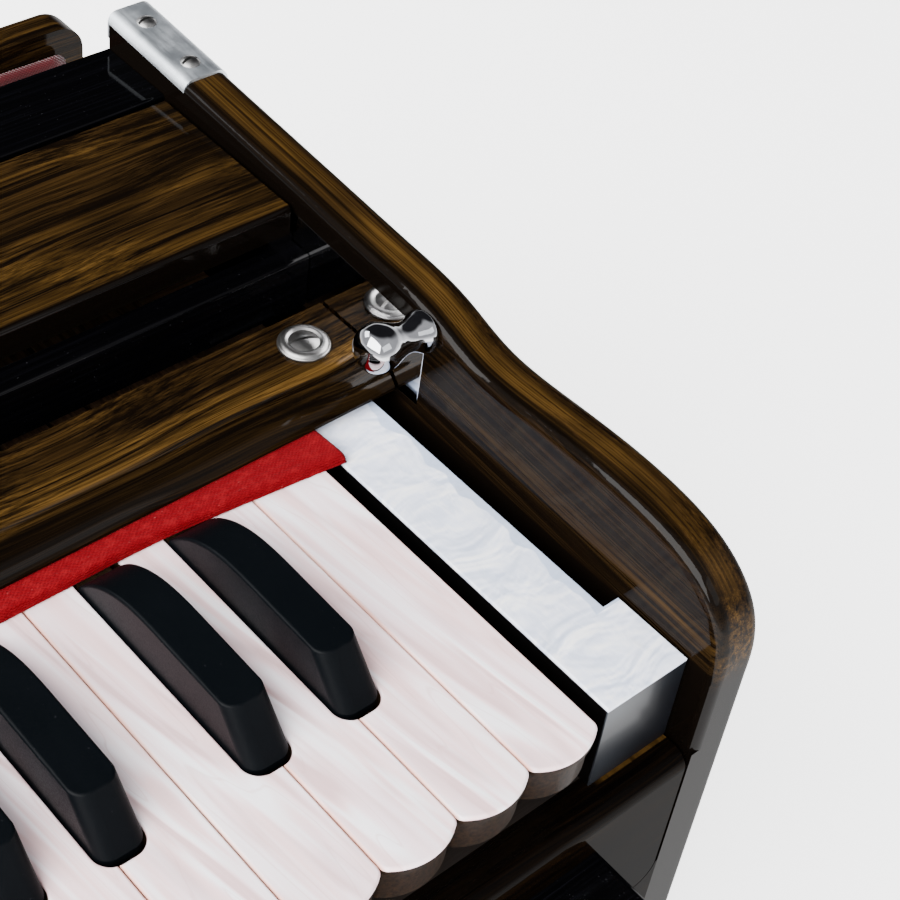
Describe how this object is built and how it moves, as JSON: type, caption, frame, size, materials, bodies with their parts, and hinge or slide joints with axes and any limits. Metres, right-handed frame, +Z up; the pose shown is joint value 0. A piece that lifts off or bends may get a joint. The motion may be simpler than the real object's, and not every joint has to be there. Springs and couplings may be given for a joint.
{
  "type": "portable harmonium",
  "caption": "Hand-pumped portable harmonium: a short piano-style keyboard in a varnished wooden case, with rear bellows, pull stops, a hinged lid flap and side catches.",
  "frame": {"origin": "centre of the instrument's footprint, on the table", "axes": "+X towards the high notes, +Y towards the bellows (away from the player), +Z up"},
  "size_m": [0.502, 0.3376, 0.1963],
  "materials": {
    "pearl_key": "polished pearl celluloid on a dark wooden lever",
    "black_key": "satin black",
    "side_varnish": "dark varnish with painted grain",
    "grained_varnish": "dark varnish with painted ochre grain",
    "base_varnish": "dark varnish",
    "front_varnish": "black-brown gloss varnish",
    "box_varnish": "black gloss varnish",
    "black_varnish": "black varnish",
    "bellows_varnish": "dark varnish with painted grain",
    "plain_wood": "bare planed wood",
    "brass": "satin",
    "reservoir_cloth": "bellows cloth and thin board",
    "steel": "drawn wire",
    "red_felt": "ribbed woven felt",
    "pearl_block": "mottled pearl celluloid",
    "nickel": "nickel plate",
    "knob_chrome": "polished chrome",
    "aluminium_strap": "bright sheet",
    "bellows_fabric": "folded cloth with paper ribs",
    "stop_knob": "ivory-coloured knob"
  },
  "bodies": {
    "case": {"back_board": "plain_wood", "bellows_cloth": "bellows_fabric", "bottom_board": "base_varnish", "chamber_boards": "black_varnish", "cheek_fittings": "knob_chrome", "corner_straps": "aluminium_strap", "cup_washers": "nickel", "end_blocks": "pearl_block", "felt_strip": "red_felt", "front_board": "front_varnish", "front_rail": "front_varnish", "hinge_leaves": "brass", "key_rod": "steel", "key_springs": "brass", "press_rail": "grained_varnish", "reeds": "brass", "reservoir": "reservoir_cloth", "screws": "nickel", "side_board_left": "side_varnish", "side_board_right": "side_varnish", "sound_board": "plain_wood", "stop_box": "box_varnish"},
    "key_01_c": {"key_01_c": "pearl_key"},
    "key_02_c_sharp": {"key_02_c_sharp": "black_key"},
    "key_03_d": {"key_03_d": "pearl_key"},
    "key_04_d_sharp": {"key_04_d_sharp": "black_key"},
    "key_05_e": {"key_05_e": "pearl_key"},
    "key_06_f": {"key_06_f": "pearl_key"},
    "key_07_f_sharp": {"key_07_f_sharp": "black_key"},
    "key_08_g": {"key_08_g": "pearl_key"},
    "key_09_g_sharp": {"key_09_g_sharp": "black_key"},
    "key_10_a": {"key_10_a": "pearl_key"},
    "key_11_a_sharp": {"key_11_a_sharp": "black_key"},
    "key_12_b": {"key_12_b": "pearl_key"},
    "key_13_c": {"key_13_c": "pearl_key"},
    "key_14_c_sharp": {"key_14_c_sharp": "black_key"},
    "key_15_d": {"key_15_d": "pearl_key"},
    "key_16_d_sharp": {"key_16_d_sharp": "black_key"},
    "key_17_e": {"key_17_e": "pearl_key"},
    "key_18_f": {"key_18_f": "pearl_key"},
    "key_19_f_sharp": {"key_19_f_sharp": "black_key"},
    "key_20_g": {"key_20_g": "pearl_key"},
    "key_21_g_sharp": {"key_21_g_sharp": "black_key"},
    "key_22_a": {"key_22_a": "pearl_key"},
    "key_23_a_sharp": {"key_23_a_sharp": "black_key"},
    "key_24_b": {"key_24_b": "pearl_key"},
    "key_25_c": {"key_25_c": "pearl_key"},
    "key_26_c_sharp": {"key_26_c_sharp": "black_key"},
    "key_27_d": {"key_27_d": "pearl_key"},
    "key_28_d_sharp": {"key_28_d_sharp": "black_key"},
    "key_29_e": {"key_29_e": "pearl_key"},
    "key_30_f": {"key_30_f": "pearl_key"},
    "stop_1": {"stop_1": "stop_knob"},
    "stop_2": {"stop_2": "stop_knob"},
    "stop_3": {"stop_3": "stop_knob"},
    "cover": {"top_cover": "grained_varnish"},
    "bellows": {"bellows_board": "bellows_varnish", "bellows_fittings": "brass"},
    "hook_left": {"catch_left": "nickel"},
    "hook_right": {"catch_right": "nickel"}
  },
  "joints": [
    {"name": "bellows_swing", "type": "hinge", "parent": "case", "child": "bellows", "pos_m": [0, 0.1664, 0.0144], "axis": [-1, 0, 0], "range_deg": [0, 32], "deforming": ["bellows_cloth"]},
    {"name": "catch_left_turn", "type": "hinge", "parent": "case", "child": "hook_left", "pos_m": [-0.2475, 0.1062, 0.154], "axis": [-1, 0, 0], "range_deg": [0, 180]},
    {"name": "catch_right_turn", "type": "hinge", "parent": "case", "child": "hook_right", "pos_m": [0.2475, 0.1062, 0.154], "axis": [-1, 0, 0], "range_deg": [0, 180]},
    {"name": "cover_lift", "type": "hinge", "parent": "case", "child": "cover", "pos_m": [0, 0.0958, 0.1858], "axis": [-1, 0, 0], "range_deg": [0, 100]},
    {"name": "key_01_c_press", "type": "hinge", "parent": "case", "child": "key_01_c", "pos_m": [0, 0.0082, 0.142], "axis": [1, 0, 0], "range_deg": [0, 3.6], "stiffness_Nm_per_rad": 0.3, "springref_deg": -11.46},
    {"name": "key_02_c_sharp_press", "type": "hinge", "parent": "case", "child": "key_02_c_sharp", "pos_m": [0, 0.0082, 0.142], "axis": [1, 0, 0], "range_deg": [0, 3.6], "stiffness_Nm_per_rad": 0.3, "springref_deg": -11.46},
    {"name": "key_03_d_press", "type": "hinge", "parent": "case", "child": "key_03_d", "pos_m": [0, 0.0082, 0.142], "axis": [1, 0, 0], "range_deg": [0, 3.6], "stiffness_Nm_per_rad": 0.3, "springref_deg": -11.46},
    {"name": "key_04_d_sharp_press", "type": "hinge", "parent": "case", "child": "key_04_d_sharp", "pos_m": [0, 0.0082, 0.142], "axis": [1, 0, 0], "range_deg": [0, 3.6], "stiffness_Nm_per_rad": 0.3, "springref_deg": -11.46},
    {"name": "key_05_e_press", "type": "hinge", "parent": "case", "child": "key_05_e", "pos_m": [0, 0.0082, 0.142], "axis": [1, 0, 0], "range_deg": [0, 3.6], "stiffness_Nm_per_rad": 0.3, "springref_deg": -11.46},
    {"name": "key_06_f_press", "type": "hinge", "parent": "case", "child": "key_06_f", "pos_m": [0, 0.0082, 0.142], "axis": [1, 0, 0], "range_deg": [0, 3.6], "stiffness_Nm_per_rad": 0.3, "springref_deg": -11.46},
    {"name": "key_07_f_sharp_press", "type": "hinge", "parent": "case", "child": "key_07_f_sharp", "pos_m": [0, 0.0082, 0.142], "axis": [1, 0, 0], "range_deg": [0, 3.6], "stiffness_Nm_per_rad": 0.3, "springref_deg": -11.46},
    {"name": "key_08_g_press", "type": "hinge", "parent": "case", "child": "key_08_g", "pos_m": [0, 0.0082, 0.142], "axis": [1, 0, 0], "range_deg": [0, 3.6], "stiffness_Nm_per_rad": 0.3, "springref_deg": -11.46},
    {"name": "key_09_g_sharp_press", "type": "hinge", "parent": "case", "child": "key_09_g_sharp", "pos_m": [0, 0.0082, 0.142], "axis": [1, 0, 0], "range_deg": [0, 3.6], "stiffness_Nm_per_rad": 0.3, "springref_deg": -11.46},
    {"name": "key_10_a_press", "type": "hinge", "parent": "case", "child": "key_10_a", "pos_m": [0, 0.0082, 0.142], "axis": [1, 0, 0], "range_deg": [0, 3.6], "stiffness_Nm_per_rad": 0.3, "springref_deg": -11.46},
    {"name": "key_11_a_sharp_press", "type": "hinge", "parent": "case", "child": "key_11_a_sharp", "pos_m": [0, 0.0082, 0.142], "axis": [1, 0, 0], "range_deg": [0, 3.6], "stiffness_Nm_per_rad": 0.3, "springref_deg": -11.46},
    {"name": "key_12_b_press", "type": "hinge", "parent": "case", "child": "key_12_b", "pos_m": [0, 0.0082, 0.142], "axis": [1, 0, 0], "range_deg": [0, 3.6], "stiffness_Nm_per_rad": 0.3, "springref_deg": -11.46},
    {"name": "key_13_c_press", "type": "hinge", "parent": "case", "child": "key_13_c", "pos_m": [0, 0.0082, 0.142], "axis": [1, 0, 0], "range_deg": [0, 3.6], "stiffness_Nm_per_rad": 0.3, "springref_deg": -11.46},
    {"name": "key_14_c_sharp_press", "type": "hinge", "parent": "case", "child": "key_14_c_sharp", "pos_m": [0, 0.0082, 0.142], "axis": [1, 0, 0], "range_deg": [0, 3.6], "stiffness_Nm_per_rad": 0.3, "springref_deg": -11.46},
    {"name": "key_15_d_press", "type": "hinge", "parent": "case", "child": "key_15_d", "pos_m": [0, 0.0082, 0.142], "axis": [1, 0, 0], "range_deg": [0, 3.6], "stiffness_Nm_per_rad": 0.3, "springref_deg": -11.46},
    {"name": "key_16_d_sharp_press", "type": "hinge", "parent": "case", "child": "key_16_d_sharp", "pos_m": [0, 0.0082, 0.142], "axis": [1, 0, 0], "range_deg": [0, 3.6], "stiffness_Nm_per_rad": 0.3, "springref_deg": -11.46},
    {"name": "key_17_e_press", "type": "hinge", "parent": "case", "child": "key_17_e", "pos_m": [0, 0.0082, 0.142], "axis": [1, 0, 0], "range_deg": [0, 3.6], "stiffness_Nm_per_rad": 0.3, "springref_deg": -11.46},
    {"name": "key_18_f_press", "type": "hinge", "parent": "case", "child": "key_18_f", "pos_m": [0, 0.0082, 0.142], "axis": [1, 0, 0], "range_deg": [0, 3.6], "stiffness_Nm_per_rad": 0.3, "springref_deg": -11.46},
    {"name": "key_19_f_sharp_press", "type": "hinge", "parent": "case", "child": "key_19_f_sharp", "pos_m": [0, 0.0082, 0.142], "axis": [1, 0, 0], "range_deg": [0, 3.6], "stiffness_Nm_per_rad": 0.3, "springref_deg": -11.46},
    {"name": "key_20_g_press", "type": "hinge", "parent": "case", "child": "key_20_g", "pos_m": [0, 0.0082, 0.142], "axis": [1, 0, 0], "range_deg": [0, 3.6], "stiffness_Nm_per_rad": 0.3, "springref_deg": -11.46},
    {"name": "key_21_g_sharp_press", "type": "hinge", "parent": "case", "child": "key_21_g_sharp", "pos_m": [0, 0.0082, 0.142], "axis": [1, 0, 0], "range_deg": [0, 3.6], "stiffness_Nm_per_rad": 0.3, "springref_deg": -11.46},
    {"name": "key_22_a_press", "type": "hinge", "parent": "case", "child": "key_22_a", "pos_m": [0, 0.0082, 0.142], "axis": [1, 0, 0], "range_deg": [0, 3.6], "stiffness_Nm_per_rad": 0.3, "springref_deg": -11.46},
    {"name": "key_23_a_sharp_press", "type": "hinge", "parent": "case", "child": "key_23_a_sharp", "pos_m": [0, 0.0082, 0.142], "axis": [1, 0, 0], "range_deg": [0, 3.6], "stiffness_Nm_per_rad": 0.3, "springref_deg": -11.46},
    {"name": "key_24_b_press", "type": "hinge", "parent": "case", "child": "key_24_b", "pos_m": [0, 0.0082, 0.142], "axis": [1, 0, 0], "range_deg": [0, 3.6], "stiffness_Nm_per_rad": 0.3, "springref_deg": -11.46},
    {"name": "key_25_c_press", "type": "hinge", "parent": "case", "child": "key_25_c", "pos_m": [0, 0.0082, 0.142], "axis": [1, 0, 0], "range_deg": [0, 3.6], "stiffness_Nm_per_rad": 0.3, "springref_deg": -11.46},
    {"name": "key_26_c_sharp_press", "type": "hinge", "parent": "case", "child": "key_26_c_sharp", "pos_m": [0, 0.0082, 0.142], "axis": [1, 0, 0], "range_deg": [0, 3.6], "stiffness_Nm_per_rad": 0.3, "springref_deg": -11.46},
    {"name": "key_27_d_press", "type": "hinge", "parent": "case", "child": "key_27_d", "pos_m": [0, 0.0082, 0.142], "axis": [1, 0, 0], "range_deg": [0, 3.6], "stiffness_Nm_per_rad": 0.3, "springref_deg": -11.46},
    {"name": "key_28_d_sharp_press", "type": "hinge", "parent": "case", "child": "key_28_d_sharp", "pos_m": [0, 0.0082, 0.142], "axis": [1, 0, 0], "range_deg": [0, 3.6], "stiffness_Nm_per_rad": 0.3, "springref_deg": -11.46},
    {"name": "key_29_e_press", "type": "hinge", "parent": "case", "child": "key_29_e", "pos_m": [0, 0.0082, 0.142], "axis": [1, 0, 0], "range_deg": [0, 3.6], "stiffness_Nm_per_rad": 0.3, "springref_deg": -11.46},
    {"name": "key_30_f_press", "type": "hinge", "parent": "case", "child": "key_30_f", "pos_m": [0, 0.0082, 0.142], "axis": [1, 0, 0], "range_deg": [0, 3.6], "stiffness_Nm_per_rad": 0.3, "springref_deg": -11.46},
    {"name": "stop_1_pull", "type": "slide", "parent": "case", "child": "stop_1", "axis": [0, -1, 0], "range_m": [0, 0.015]},
    {"name": "stop_2_pull", "type": "slide", "parent": "case", "child": "stop_2", "axis": [0, -1, 0], "range_m": [0, 0.015]},
    {"name": "stop_3_pull", "type": "slide", "parent": "case", "child": "stop_3", "axis": [0, -1, 0], "range_m": [0, 0.015]}
  ]
}
